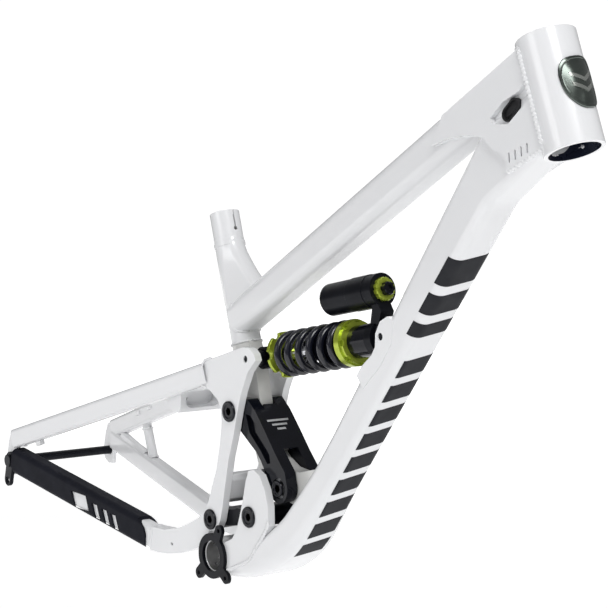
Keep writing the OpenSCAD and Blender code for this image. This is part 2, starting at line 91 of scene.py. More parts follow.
# ---------------------------------------------------------------- materials
BUMP_DEPTH = 0.0002       # metres


class Mat:
    """A principled material with a few helpers for procedural detail."""

    def __init__(self, name, rough=0.4, metal=0.0, coat=0.0, coat_rough=0.05, spec=0.5):
        self.m = bpy.data.materials.new(name)
        self.m.use_nodes = True
        self.nt = self.m.node_tree
        self.b = self.nt.nodes["Principled BSDF"]
        self.b.inputs["Roughness"].default_value = rough
        self.b.inputs["Metallic"].default_value = metal
        self.b.inputs["Coat Weight"].default_value = coat
        self.b.inputs["Coat Roughness"].default_value = coat_rough
        self.b.inputs["Specular IOR Level"].default_value = spec
        self.co = self.nt.nodes.new("ShaderNodeTexCoord")

    def node(self, kind, **inputs):
        n = self.nt.nodes.new(kind)
        for k, v in inputs.items():
            n.inputs[k.replace("_", " ")].default_value = v
        return n

    def link(self, a, b):
        self.nt.links.new(a, b)

    def noise(self, scale, detail):
        n = self.node("ShaderNodeTexNoise", Scale=scale, Detail=detail, Roughness=0.55)
        self.link(self.co.outputs["Object"], n.inputs["Vector"])
        return n.outputs["Fac"]

    def colour(self, fac, stops):
        """stops: two of (position, colour)"""
        r = self.nt.nodes.new("ShaderNodeValToRGB")
        for e, (pos, col) in zip(r.color_ramp.elements, stops):
            e.position = pos
            e.color = (*col, 1)
        self.link(fac, r.inputs["Fac"])
        self.link(r.outputs["Color"], self.b.inputs["Base Color"])

    def roughness(self, fac, lo, hi):
        mr = self.node("ShaderNodeMapRange", To_Min=lo, To_Max=hi)
        self.link(fac, mr.inputs["Value"])
        self.link(mr.outputs["Result"], self.b.inputs["Roughness"])

    def bump(self, facs):
        """facs: list of (fac socket, strength)"""
        prev = None
        for fac, strength in facs:
            bp = self.node("ShaderNodeBump", Strength=strength, Distance=BUMP_DEPTH)
            self.link(fac, bp.inputs["Height"])
            if prev is not None:
                self.link(prev, bp.inputs["Normal"])
            prev = bp.outputs["Normal"]
        self.link(prev, self.b.inputs["Normal"])


def paint(name, lo, hi, rough, coat):
    """enamel: a broad drift between two close colours, and a fine orange peel"""
    m = Mat(name, rough=0.25, coat=coat, coat_rough=0.06)
    m.colour(m.noise(7.0, 2.0), [(0.3, lo), (0.7, hi)])
    m.roughness(m.noise(18.0, 2.0), *rough)
    m.bump([(m.noise(1500.0, 2.0), 0.035), (m.noise(260.0, 2.0), 0.02)])
    return m.m


def anodised(name, lo, hi, rough=(0.26, 0.42), metal=0.85, coat=0.15, grain=0.08, spec=0.5):
    """metal with a fine grain, bare or dyed"""
    m = Mat(name, rough=0.35, metal=metal, coat=coat, coat_rough=0.12, spec=spec)
    m.colour(m.noise(30.0, 4.0), [(0.3, lo), (0.7, hi)])
    m.roughness(m.noise(70.0, 4.0), *rough)
    m.bump([(m.noise(1500.0, 3.0), grain), (m.noise(200.0, 2.0), 0.03)])
    return m.m


WHITE = paint("paint_white", (0.815, 0.822, 0.835), (0.825, 0.83, 0.842), rough=(0.23, 0.27), coat=0.5)
WELD = paint("paint_weld", (0.80, 0.806, 0.82), (0.83, 0.835, 0.845), rough=(0.26, 0.32), coat=0.4)
MAST = paint("mast_satin", (0.66, 0.66, 0.64), (0.76, 0.76, 0.745), rough=(0.10, 0.2), coat=0.6)
BLACK = anodised("anodised_black", (0.004, 0.0045, 0.007), (0.009, 0.010, 0.014), metal=0.4, coat=0.04,
                 spec=0.14)
BLACK_GLOSS = anodised("anodised_gloss", (0.003, 0.0035, 0.006), (0.006, 0.007, 0.012), rough=(0.10, 0.18),
                       metal=0.2, coat=0.22, grain=0.02, spec=0.15)
SPRING = paint("spring_enamel", (0.004, 0.0048, 0.010), (0.007, 0.008, 0.016), rough=(0.22, 0.3), coat=0.25)
LIME = anodised("anodised_lime", (0.34, 0.42, 0.03), (0.46, 0.56, 0.06), rough=(0.2, 0.3), metal=0.6)
RED = anodised("anodised_red", (0.30, 0.015, 0.012), (0.42, 0.03, 0.02))
STEEL = anodised("steel", (0.20, 0.205, 0.215), (0.32, 0.325, 0.335), rough=(0.25, 0.4), metal=1.0)
CHROME = anodised("chrome_rod", (0.62, 0.63, 0.65), (0.72, 0.73, 0.75), rough=(0.08, 0.16), metal=1.0,
                  grain=0.01)
BADGE = anodised("badge_chrome", (0.07, 0.085, 0.075), (0.16, 0.18, 0.165), rough=(0.14, 0.26), metal=0.95)
BADGE_LIGHT = anodised("badge_light", (0.34, 0.36, 0.33), (0.50, 0.52, 0.49), rough=(0.16, 0.28), metal=0.9)
BORE = anodised("bare_alloy", (0.46, 0.46, 0.46), (0.60, 0.60, 0.60), rough=(0.22, 0.35), metal=0.9)
# painted shade: a near-black navy that stands in for the shade deep inside the head tube's bore
BORE_SHADE = anodised("bore_painted_shade", (0.010, 0.013, 0.03), (0.022, 0.027, 0.05), rough=(0.2, 0.35), metal=0.4)
PRINT = Mat("laser_mark", rough=0.35)
PRINT.colour(PRINT.noise(300.0, 2.0), [(0.3, (0.42, 0.43, 0.44)), (0.7, (0.55, 0.56, 0.57))])
PRINT = PRINT.m
DECAL = Mat("decal_ink", rough=0.5, spec=0.1)
DECAL.colour(DECAL.noise(60.0, 3.0), [(0.3, (0.020, 0.0205, 0.024)), (0.7, (0.028, 0.029, 0.033))])
DECAL.bump([(DECAL.noise(900.0, 2.0), 0.05)])
DECAL = DECAL.m
RUBBER = Mat("rubber_matt", rough=0.5, spec=0.12)
RUBBER.colour(RUBBER.noise(25.0, 4.0), [(0.3, (0.006, 0.0065, 0.011)), (0.7, (0.012, 0.013, 0.020))])
RUBBER.roughness(RUBBER.noise(90.0, 4.0), 0.5, 0.7)
RUBBER.bump([(RUBBER.noise(1400.0, 4.0), 0.25), (RUBBER.noise(60.0, 2.0), 0.06)])
RUBBER = RUBBER.m
PLASTIC = Mat("plastic_matt", rough=0.5, spec=0.15)
PLASTIC.colour(PLASTIC.noise(40.0, 3.0), [(0.3, (0.014, 0.014, 0.015)), (0.7, (0.026, 0.026, 0.028))])
PLASTIC.bump([(PLASTIC.noise(1200.0, 3.0), 0.2)])
PLASTIC = PLASTIC.m


# ---------------------------------------------------------------- mesh helpers (all take millimetres)
def make(name, verts, faces, mat, body, smooth=35.0):
    """a new piece that rides on a body, in one material"""
    me = bpy.data.meshes.new(name)
    me.from_pydata([tuple(float(c) * MM for c in v) for v in verts], [], [tuple(f) for f in faces])
    me.validate()
    bm = bmesh.new()
    bm.from_mesh(me)
    bmesh.ops.remove_doubles(bm, verts=bm.verts, dist=1e-7)
    bmesh.ops.recalc_face_normals(bm, faces=bm.faces)
    bm.to_mesh(me)
    bm.free()
    me.materials.append(mat)
    ob = bpy.data.objects.new(name, me)
    bpy.context.scene.collection.objects.link(ob)
    for p in me.polygons:
        p.use_smooth = True
    me.set_sharp_from_angle(angle=math.radians(smooth))
    weigh_normals(ob)
    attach(ob, body)
    return ob


def weigh_normals(ob):
    n = ob.modifiers.new("normals", "WEIGHTED_NORMAL")
    n.keep_sharp = True
    n.weight = 80


def ring_loft(rings, closed=False):
    """joins equal closed loops of points in turn: capped at both ends, or back to the first when closed"""
    n, rows = len(rings[0]), len(rings)
    verts = [p for r in rings for p in r]
    faces = []
    for i in range(rows if closed else rows - 1):
        lo, hi = i * n, (i + 1) % rows * n
        faces += [(lo + j, lo + (j + 1) % n, hi + (j + 1) % n, hi + j) for j in range(n)]
    if not closed:
        faces.append(tuple(range(n))[::-1])
        faces.append(tuple((rows - 1) * n + j for j in range(n)))
    return verts, faces


def xyz(p, y=0.0):
    """a point of the side plane, y to the left"""
    return np.array([p[0], y, p[1]], float)


def turn(n):
    """n equal angles round a circle"""
    return [2 * math.pi * i / n for i in range(n)]


def rounded(w, h0, h1, r0, r1, k=6):
    """closed loop of (y, h): half width w, from h0 to h1, corner radius r0 at h0 and r1 at h1"""
    pts = []

    def corner(cy, ch, r, a0):
        for i in range(k + 1):
            a = math.radians(a0 + 90 * i / k)
            pts.append((cy + r * math.cos(a), ch + r * math.sin(a)))

    corner(w - r1, h1 - r1, r1, 0)
    corner(-w + r1, h1 - r1, r1, 90)
    corner(-w + r0, h0 + r0, r0, 180)
    corner(w - r0, h0 + r0, r0, 270)
    return pts


def hit_cylinder(p, d, axis_p, axis_d, r):
    """first t with p + t d on the cylinder, or None"""
    a = np.array(axis_d, float)
    a /= np.linalg.norm(a)
    m = np.array(p, float) - axis_p
    dp = d - a * np.dot(d, a)
    mp = m - a * np.dot(m, a)
    qa, qb, qc = np.dot(dp, dp), 2 * np.dot(mp, dp), np.dot(mp, mp) - r * r
    disc = qb * qb - 4 * qa * qc
    if disc < 0:
        return None
    return (-qb - math.sqrt(disc)) / (2 * qa)


class Beads:
    """Weld beads of one body, gathered into one mesh."""

    def __init__(self):
        self.v, self.f = [], []

    def add(self, pts, r=2.2, pitch=3.4, closed=False, ripple=0.22):
        """one bead of radius r along pts, with a ripple every pitch"""
        pts = [np.array(p, float) for p in pts]
        if closed:
            pts = pts + [pts[0]]
        seg = [np.linalg.norm(b - a) for a, b in zip(pts, pts[1:])]
        cum = np.concatenate([[0], np.cumsum(seg)])
        n = max(4, int(cum[-1] / 0.85))
        s = np.linspace(0, cum[-1], n + 1)
        arr = np.array(pts)
        c = np.stack([np.interp(s, cum, arr[:, k]) for k in range(3)], 1)
        for _ in range(4):
            c[1:-1] = (c[:-2] + 2 * c[1:-1] + c[2:]) / 4
        t = np.gradient(c, axis=0)
        t /= np.linalg.norm(t, axis=1)[:, None] + 1e-12
        rings = []
        for i in range(n + 1):
            u = np.cross(t[i], np.array([0.0, 1.0, 0.0]))
            if np.linalg.norm(u) < 0.2:
                u = np.cross(t[i], np.array([1.0, 0.0, 0.3]))
            u /= np.linalg.norm(u)
            w = np.cross(t[i], u)
            rr = r * (1 - ripple + ripple * abs(math.sin(math.pi * s[i] / pitch)))
            if not closed and (i < 2 or i > n - 2):
                rr *= 0.55                        # the ends sink into the metal
            rings.append([c[i] + rr * (math.cos(a) * u + math.sin(a) * w) for a in turn(8)])
        base = len(self.v)
        v, f = ring_loft(rings)
        self.v += v
        self.f += [tuple(base + k for k in face) for face in f]

    def both(self, pts, **kw):
        self.add(pts, **kw)
        self.add([(p[0], -p[1], p[2]) for p in pts], **kw)

    def make(self, name, mat, body):
        return make(name, self.v, self.f, mat, body, smooth=60)


# ---------------------------------------------------------------- CAD nodes that keep their shape
def dress(node, mat, bevel=0.0):
    """paints a CAD node and softens its edges with modifiers; its mesh is not touched"""
    ob = NODES[node]
    me = ob.data
    me.materials.clear()
    me.materials.append(mat)
    for p in me.polygons:
        p.material_index = 0
        p.use_smooth = True
    w = ob.modifiers.new("weld", "WELD")
    w.merge_threshold = 3e-6
    if bevel:
        d = ob.modifiers.new("planar", "DECIMATE")
        d.decimate_type = "DISSOLVE"
        d.angle_limit = math.radians(0.4)
        b = ob.modifiers.new("bevel", "BEVEL")
        b.width, b.segments, b.limit_method = bevel * MM, 3, "ANGLE"
        b.angle_limit = math.radians(34)
        b.use_clamp_overlap = True
        b.harden_normals = True
    e = ob.modifiers.new("sharp", "EDGE_SPLIT")
    e.split_angle = math.radians(35)
    weigh_normals(ob)


def line_bore(node, mat, at, along, r):
    """gives the faces within r of a line their own material: bare alloy in the shell and seat tube, painted
    shade in the head tube
    """
    me = NODES[node].data
    me.materials.append(mat)
    a = Vector(along).normalized()
    c = Vector(at) * MM
    for p in me.polygons:
        m = p.center - c
        if (m - a * m.dot(a)).length < (r + 0.25) * MM and abs(p.normal.dot(a)) < 0.5:
            p.material_index = 1


def dress_all():
    sides = (("yoke", 1.8), ("head_gusset", 0.9), ("upright", 1.6), ("seatstay", 0), ("chainstay", 0),
             ("stay_yoke", 2.2), ("dropout", 1.2))
    for n, b in sides:
        dress(n + "_right", WHITE, b)
        dress(n + "_left", WHITE, b)
    for n, b in (("head_tube", 0.5), ("top_tube", 0), ("seat_tube", 0.4), ("seat_gusset", 2.5),
                 ("bb_shell", 0.7), ("shock_mount", 1.5), ("upright_bridge", 1.5),
                 ("seatstay_bridge", 1.6), ("brake_brace", 0), ("hose_clips", 0.8)):
        dress(n, WHITE, b)
    dress("seat_mast", MAST, 1.6)
    for n, b in (("chainguide_plate", 0.7), ("hanger", 0.7), ("rear_axle", 0.7), ("lower_link", 1.0),
                 ("shock_head", 1.2), ("reservoir", 0.8), ("rear_eye", 1.0)):
        dress(n, BLACK, b)
    for n in ("pivot_axles_frame", "pivot_bolts_rear", "damper_tube"):
        dress(n, BLACK_GLOSS, 0.7)
    dress("upper_link", BLACK_GLOSS, 2.0)
    for n in ("upper_link_bearings", "lower_link_bearings"):
        dress(n, STEEL, 0.4)
    for n in ("shock_front_bolt", "shock_rear_bolt"):
        dress(n, BLACK, 0.4)
    for n, b in (("reservoir_cap", 0.5), ("knob_compression", 0.5), ("preload_collar", 0.6),
                 ("spring_seat", 0.8)):
        dress(n, LIME, b)
    dress("knob_rebound", RED, 0.5)
    dress("shock_shaft", CHROME, 0.3)
    dress("bump_stop", RUBBER, 1.0)
    dress("cable_ports", PLASTIC, 0.3)
    dress("head_badge", BADGE, 0.5)
    dress("chainstay_guard", RUBBER, 0.9)
    line_bore("bb_shell", BORE, (0, 0, 0), (0, 1, 0), 17.4)
    # the head tube's bore is painted near black, as painted shade
    line_bore("head_tube", BORE_SHADE, tuple(xyz(HEAD_LO)), tuple(xyz(HEAD_D)), 24.8)
    line_bore("seat_tube", BORE, tuple(xyz(SEAT_TOP)), tuple(xyz(unit(180 - SEAT_ANGLE))), 15.8)


# ---------------------------------------------------------------- down tube, lofted
C1, C2 = np.array([-3.4, 164.5]), np.array([445.3, 426.2])   # centres of its bends, at shell and head tube
RUN_D = unit(58.4)                # along the straight run between the bends
RUN_N = np.array([-RUN_D[1], RUN_D[0]])
END_D = unit(41.4)                # along the end that meets the head tube
END_N = np.array([-END_D[1], END_D[0]])
B1 = np.array([388.0, 542.4])     # where its upper edge turns towards the head tube


def down_tube_stations():
    """pairs (lower, upper) in the side plane, from the shell to the head tube"""
    st = []
    for a in np.linspace(-76.6, -31.6, 26):
        st.append((C1 + 186.5 * unit(a), C1 + 148.5 * unit(a)))
    lo0 = st[-1][0]
    for s in np.linspace(0, 458, 40)[1:]:
        depth = 38.0 + max(0.0, s - 122.6) * math.tan(math.radians(1.87))
        st.append((lo0 + s * RUN_D, lo0 + s * RUN_D + depth * RUN_N))
    up0 = st[-1][1]
    path = [up0, B1, np.array([415.0, 556.0]), np.array([436.0, 572.0])]
    cum = np.concatenate([[0], np.cumsum([np.linalg.norm(b - a) for a, b in zip(path, path[1:])])])
    lows = [C2 + 58.5 * unit(a) for a in np.linspace(148.4, 131.4, 7)[1:]]
    tail = [lows[-1] + t * END_D for t in (12, 26, 42, 60)]
    ends = lows + tail
    for i, lo in enumerate(ends):
        s = cum[-1] * ((i + 1) / len(ends))
        up = np.array([np.interp(s, cum, [p[k] for p in path]) for k in (0, 1)])
        st.append((lo, up))
    return st


DT_STATIONS = down_tube_stations()


def dt_half_width(mid_x):
    return float(np.interp(mid_x, [84, 104, 128, 150, 175], [36.4, 35.4, 31.5, 27.0, 23.0]))


def dt_section(i):
    lo, up = DT_STATIONS[i]
    d = up - lo
    depth = np.linalg.norm(d)
    d = d / depth
    mid = (lo + up) / 2
    w = dt_half_width(mid[0])
    flare = (w - 23) / 13.4
    loop = rounded(w, 0, depth, 10.5 + 5.5 * flare, 9.0 - 2.0 * flare, k=7)
    return [xyz(lo + h * d, y) for y, h in loop]


def build_down_tube():
    rings = [dt_section(i) for i in range(len(DT_STATIONS))]
    ha = xyz(HEAD_LO)
    hd = xyz(HEAD_D)
    d = xyz(END_D)
    last = []
    for p in rings[-1]:
        t = hit_cylinder(p, d, ha, hd, HEAD_R - 1.5)
        last.append(p + d * (t if t is not None and -30 < t < 80 else 0))
    rings[-1] = [0.5 * (a + b) for a, b in zip(rings[-2], last)]
    rings.append(last)
    back = -xyz(unit(13.4))
    first = []
    for p in rings[0]:
        foot = np.dot(-p, back)
        q = p + back * foot
        h = math.hypot(q[0], q[2])
        stop = math.sqrt(max(0.0, 20.0 ** 2 - h * h)) if h < 20 else -4.0
        first.append(p + back * (foot - stop))
    rings.insert(0, first)
    v, f = ring_loft(rings)
    ob = make("down_tube_skin", v, f, WHITE, "front_triangle", smooth=50)
    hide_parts("down_tube")
    return ob


def dt_surface(s, u):
    """a point on the down tube's skin and its outward normal. s: station index (may be fractional);
    u: mm round the section from the middle of the lower face, positive to the left"""
    i = min(max(int(math.floor(s)), 0), len(DT_STATIONS) - 2)
    f = s - i
    lo = DT_STATIONS[i][0] * (1 - f) + DT_STATIONS[i + 1][0] * f
    up = DT_STATIONS[i][1] * (1 - f) + DT_STATIONS[i + 1][1] * f
    d = up - lo
    d /= np.linalg.norm(d)
    w = dt_half_width(((lo + up) / 2)[0])
    flare = (w - 23) / 13.4
    r = 10.5 + 5.5 * flare
    flat = w - r
    arc = r * math.pi / 2
    dist = abs(u)
    sg = 1.0 if u >= 0 else -1.0
    if dist <= flat:
        y, h, ny, nh = dist, 0.0, 0.0, -1.0
    elif dist <= flat + arc:
        a = (dist - flat) / r
        y, h = flat + r * math.sin(a), r - r * math.cos(a)
        ny, nh = math.sin(a), -math.cos(a)
    else:
        y, h, ny, nh = w, r + dist - flat - arc, 1.0, 0.0
    p = xyz(lo + h * d, sg * y)
    n = np.array([nh * d[0], sg * ny, nh * d[1]])
    return p, n


# ---------------------------------------------------------------- weld beads
def tube_on_cylinder(loop_points, d, axis_p, axis_d, r):
    """where lines along d from a tube's outline meet a cylinder"""
    out = []
    for p in loop_points:
        t = hit_cylinder(p, d, axis_p, axis_d, r)
        if t is not None:
            out.append(p + d * t)
    return out


def circle_xz(c, r, a0, a1, y, n=24):
    return [xyz(np.array(c) + r * unit(a), y) for a in np.linspace(a0, a1, n)]


def build_welds():
    b = Beads()
    back = unit(90 - HEAD_ANGLE + 180)           # from the head tube's axis towards the rear
    xo = math.sqrt(HEAD_R ** 2 - 27.0 ** 2)
    # gussets to the head tube
    b.both([xyz(HEAD_LO + h * HEAD_D + (xo + 0.4) * back, 27.2) for h in np.linspace(12, 107, 30)],
           r=2.9, pitch=4.4, ripple=0.42)
    # top tube over the head tube
    tt_d, tt_n = unit(TT_ANGLE), unit(TT_ANGLE + 90)
    top = [xyz(TT_A + 20.5 * tt_n + 500 * tt_d, y) for y in np.linspace(-14, 14, 15)]
    seam = tube_on_cylinder(top, xyz(tt_d), xyz(HEAD_LO), xyz(HEAD_D), HEAD_R)
    side = [xyz(HEAD_LO + 107 * HEAD_D + (xo + 0.4) * back, s) for s in (-27.2, 27.2)]
    if len(seam) > 4:
        b.add([side[0]] + seam + [side[1]], r=2.2)
    # down tube under the head tube
    low = [dt_section(len(DT_STATIONS) - 2)[j] for j in range(32)]
    low = sorted([p for p in low if np.dot(p - xyz(DT_STATIONS[-2][0]), xyz(END_N)) < 24], key=lambda p: p[1])
    seam = tube_on_cylinder(low, xyz(END_D), xyz(HEAD_LO), xyz(HEAD_D), HEAD_R)
    if len(seam) > 4:
        b.add(seam, r=2.3)
    # gusset edges along the tubes, lower front strip
    b.both([xyz(p, 21.6) for p in ([318, 513], [337, 521], [360, 526], [377, 528], [390, 527])],
           r=1.3, pitch=3.0)
    b.both([xyz(p, 24.2) for p in ([424, 497], [438, 505.5], [452, 514], [467, 523], [474, 527])],
           r=3.0, pitch=4.6, ripple=0.42)
    b.both([xyz(p, 20.2) for p in ([330, 545], [360, 566], [395, 591], [425, 612])], r=1.3, pitch=3.0)
    # seat tube: top tube, gusset and mast
    axis_p, axis_d = xyz(SEAT_TOP), xyz(-unit(180 - SEAT_ANGLE))
    loop = [xyz(TT_A + h * tt_n + 40 * tt_d, y) for y, h in rounded(19, -20.5, 20.5, 12, 12, k=5)]
    seam = tube_on_cylinder(loop, -xyz(tt_d), axis_p, axis_d, SEAT_R)
    if len(seam) > 8:
        b.add(seam, r=2.0, closed=True)
    end = SEAT_TOP + SEAT_LEN * -unit(180 - SEAT_ANGLE)
    n2 = unit(90 - SEAT_ANGLE)
    rim = np.linspace(0, 2 * math.pi, 40)[:-1]
    b.add([xyz(end + SEAT_R * math.cos(a) * n2, SEAT_R * math.sin(a)) for a in rim], r=1.8, closed=True)
    # yokes on the down tube
    edge = ([101, 72], [102, 64], [93, 48], [82, 33], [72, 16], [56, 6], [38, -4], [20, -15])
    b.both([xyz(p, 36.2) for p in edge], r=2.6, pitch=4.2, ripple=0.4)
    # under the shell
    b.add([xyz(np.array([4.0, -21.5]), y) for y in np.linspace(-33, 33, 30)], r=2.4)
    b.both(circle_xz((0, 0), 21.6, 60, 128, 31), r=1.8)
    # mast on the down tube
    b.both([xyz(p, 9.6) for p in ([150, 138], [136, 118], [122, 96], [112, 84])], r=1.8)
    b.make("welds_front", WELD, "front_triangle")
    # ---- rear
    b = Beads()
    # seatstay into the upright
    b.both([xyz(p, 36.2) for p in ([-30, 234], [-44, 228.5], [-54, 212], [-49, 198], [-38, 196])], r=1.7)
    # stay yokes
    for sgn, top_z, low_z in ((-1, 6.5, -23), (1, 23, -5)):
        half = ((36, top_z - 3), (38, top_z), (45, top_z + 0.5), (52, top_z), (54.2, top_z - 4),
                (54.4, (top_z + low_z) / 2), (54.2, low_z + 4), (52, low_z), (45, low_z), (38, low_z),
                (36, low_z + 3))
        loop = [(-113, sgn * y, z) for y, z in half]
        b.add(loop, r=1.7, closed=True)
    # bridges
    b.both([(-4, 25.0, 97), (3, 25.0, 96.5), (5, 25.0, 90), (2, 25.0, 70), (-4, 25.0, 63)], r=1.6)
    # dropouts
    b.both([(-425, 74.5, 34), (-425, 74.5, 18), (-425, 74.5, 2)], r=1.6)
    b.both([(-442, 74.5, 52), (-424, 74.5, 56), (-407, 74.5, 51)], r=1.6)
    # brace
    for c in ((-321, 64.5, 73.5), (-302.5, 64.5, 37.5)):
        b.add([(c[0] + 7 * math.cos(t), c[1] + 7 * math.sin(t), c[2] + 3 * math.cos(t)) for t in
               np.linspace(0, 2 * math.pi, 24)[:-1]], r=1.2, closed=True)
    b.make("welds_rear", WELD, "rear_triangle")


# ---------------------------------------------------------------- seat gusset, drawn smoothly off the tube
def hull_ring(big, small, reach, n=24):
    """closed outline round a circle at 0 and a smaller one whose far side is at reach"""
    c = max(reach - small, 0.01)
    lean = math.acos(max(-1.0, min(1.0, (big - small) / max(c, big - small + 1e-6))))
    pts = [(c + small * math.cos(a), small * math.sin(a)) for a in np.linspace(-lean, lean, n)]
    return pts + [(big * math.cos(a), big * math.sin(a)) for a in np.linspace(lean, 2 * math.pi - lean, n)]


def build_seat_gusset():
    down, front = -unit(180 - SEAT_ANGLE), unit(90 - SEAT_ANGLE)
    ridge = [(30, 17.9), (36, 18.3), (43, 20.0), (53, 23.5), (68, 31.2), (82, 39.3), (94, 47.5), (104, 54.5),
             (114, 58), (126, 52), (138, 40)]
    rings = []
    for s in np.linspace(30, 138, 34):
        d = float(np.interp(s, [p[0] for p in ridge], [p[1] for p in ridge]))
        nose = float(np.interp(s, [30, 50, 80, 138], [16.5, 13.5, 12.0, 12.0]))
        c = SEAT_TOP + s * down
        rings.append([xyz(c + x * front, y) for x, y in hull_ring(17.95, nose, d)])
    v, f = ring_loft(rings)
    ob = make("seat_gusset_skin", v, f, WHITE, "front_triangle", smooth=60)
    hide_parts("seat_gusset")


# ---------------------------------------------------------------- pivot caps with a hexagon socket
def side_ring(centre, radii, y):
    """a closed loop round a point of the side plane, with a radius for each angle"""
    angles = turn(len(radii))
    return [(centre[0] + r * math.cos(a), y, centre[1] + r * math.sin(a)) for r, a in zip(radii, angles)]


def lathe_cap(name, centre, y_face, out, r, depth, mat, body, socket=4.4, dish=0.62):
    """a turned cap on a side face: bevelled rim, shallow dish and a hexagon socket"""
    n = 48
    prof = [(r, 0.0), (r, depth - 0.9), (r - 0.35, depth - 0.25), (r - 1.1, depth), (r * dish + 0.9, depth),
            (r * dish, depth - 0.8), (r * dish - 0.5, depth - 0.95), (socket * 1.28, depth - 0.95)]
    rings = [side_ring(centre, [rr] * n, y_face + out * h) for rr, h in prof]
    hexagon = [socket / math.cos((a % (math.pi / 3)) - math.pi / 6) for a in turn(n)]
    rings += [side_ring(centre, hexagon, y_face + out * h) for h in (depth - 0.95, depth - 4.2)]
    return make(name, *ring_loft(rings), mat, body, smooth=28)


def rod(name, centre, y0, y1, body):
    """a steel pivot pin with small chamfers"""
    r, n = PIN_R, 40
    profile = ((r - 0.5, y0), (r, y0 + 0.5), (r, y1 - 0.5), (r - 0.5, y1))
    rings = [side_ring(centre, [rr] * n, y) for rr, y in profile]
    return make(name, *ring_loft(rings), STEEL, body, smooth=40)


def build_pivots():
    for tag, s in (("right", -1), ("left", 1)):
        lathe_cap("cap_upper_front_" + tag, P1, s * 25.5, s, 9.5, 1.9, BLACK_GLOSS, "front_triangle")
        lathe_cap("cap_lower_front_" + tag, P3, s * 36.5, s, 12.3, 2.3, BLACK_GLOSS, "front_triangle")
        lathe_cap("cap_upper_rear_" + tag, P2, s * 35.5, s, 12.3, 2.5, BLACK_GLOSS, "rear_triangle")
        lathe_cap("cap_lower_rear_" + tag, P4, s * 35.5, s, 12.3, 2.5, BLACK_GLOSS, "rear_triangle")
    axle = rod("pin_upper_front", P1, -25.5, 25.5, "front_triangle")
    rod("pin_lower_front", P3, -36.5, 36.5, "front_triangle")
    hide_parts("pivot_axles_frame")
    bolt = rod("pin_lower_rear", P4, -35.5, 35.5, "rear_triangle")
    rod("pin_upper_rear_left", P2, 11, 35.5, "rear_triangle")
    rod("pin_upper_rear_right", P2, -35.5, -11, "rear_triangle")
    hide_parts("pivot_bolts_rear")


# ---------------------------------------------------------------- coil spring
def along_shock(t, r, a):
    """a point t mm up the shock axis from its rear eye, r off the axis at angle a"""
    c = S2 + t * SHOCK_D
    return xyz(c + r * math.cos(a) * SHOCK_N, r * math.sin(a))


def build_spring(t0=36.2, t1=153.6, wire=4.25, radius=22.25, turns=6.3):
    """a round wire coil with closed ends that bear on the two seats"""
    n = 420
    ts = np.linspace(0, turns, n)
    flat, share = 0.75, 0.16                      # turns of each end coil, and their share before flattening
    rise = np.interp(ts, [0, flat, turns - flat, turns], [0, share, 1 - share, 1])
    k = 2 * wire * 0.8 / (t1 - t0)
    rise = np.interp(rise, [0, share, 1 - share, 1], [0, k, 1 - k, 1])
    zc = t0 + wire + rise * (t1 - t0 - 2 * wire)
    pts = np.array([along_shock(z, radius, 2 * math.pi * t + 0.6) for z, t in zip(zc, ts)])
    tan = np.gradient(pts, axis=0)
    tan /= np.linalg.norm(tan, axis=1)[:, None]
    rings = []
    for i in range(n):
        u = pts[i] - along_shock(zc[i], 0, 0)
        u /= np.linalg.norm(u)
        w = np.cross(tan[i], u)
        rr = wire * (0.86 + 0.14 * min(1, min(i, n - 1 - i) / 14))
        rings.append([pts[i] + rr * (math.cos(a) * u + math.sin(a) * w) for a in turn(12)])
    ob = make("coil", *ring_loft(rings), SPRING, "shock_body", smooth=60)
    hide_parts("coil_spring")
    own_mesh(ob)


# ---------------------------------------------------------------- decals: thin ink shapes laid on the skin
def patch_on_tube(name, left, right):
    """a thin printed patch on the down tube, between two edges of (station, u) points"""
    v, f = [], []
    n = len(left)
    cols = 20
    for layer in (0.22, -0.22):                   # its top and underside, off the skin
        for (s0, u0), (s1, u1) in zip(left, right):
            for c in range(cols + 1):
                q = c / cols
                p, nn = dt_surface(s0 + (s1 - s0) * q, u0 + (u1 - u0) * q)
                v.append(p + nn * layer)
    w = cols + 1
    off = n * w
    for i in range(n - 1):
        for c in range(cols):
            a = i * w + c
            f.append((a, a + 1, a + 1 + w, a + w))
            f.append((off + a, off + a + w, off + a + 1 + w, off + a + 1))
    ring = ([c for c in range(w)] + [i * w + cols for i in range(1, n)] +
            [(n - 1) * w + c for c in range(cols - 1, -1, -1)] + [i * w for i in range(n - 2, 0, -1)])
    for a, b in zip(ring, ring[1:] + ring[:1]):
        f.append((a, off + a, off + b, b))
    make(name, v, f, DECAL, "front_triangle", smooth=60)


DT_STEPS = [np.linalg.norm(b[0] - a[0]) for a, b in zip(DT_STATIONS, DT_STATIONS[1:])]
DT_RUN = np.concatenate([[0], np.cumsum(DT_STEPS)])


def station(t):
    """fractional station index at t millimetres along the lower edge"""
    return float(np.interp(t, DT_RUN, np.arange(len(DT_RUN))))


def slanted_bar(name, t0, t1, u0, u1, lean):
    """a bar from t0 to t1 along the tube and u0 to u1 across it, leaning up by 'lean'"""
    n = max(4, int((t1 - t0) / 5))
    left = [(station(t), u0) for t in np.linspace(t0, t1, n)]
    right = [(station(t + lean), u1) for t in np.linspace(t0, t1, n)]
    patch_on_tube(name, left, right)


def build_decals():
    """nine plain slanted bars of one size, and three wider ones above them"""
    start, length, pitch, edge = 104, 24, 35, 17.5
    for k in range(9):
        t = start + pitch * k
        slanted_bar("bar_%d" % k, t, t + length, -edge, edge, 9.0)
    for k, (t, length) in enumerate(((437, 18), (467, 26), (505, 34))):
        slanted_bar("band_%d" % k, t, t + length, -30.0, edge, 12.0)


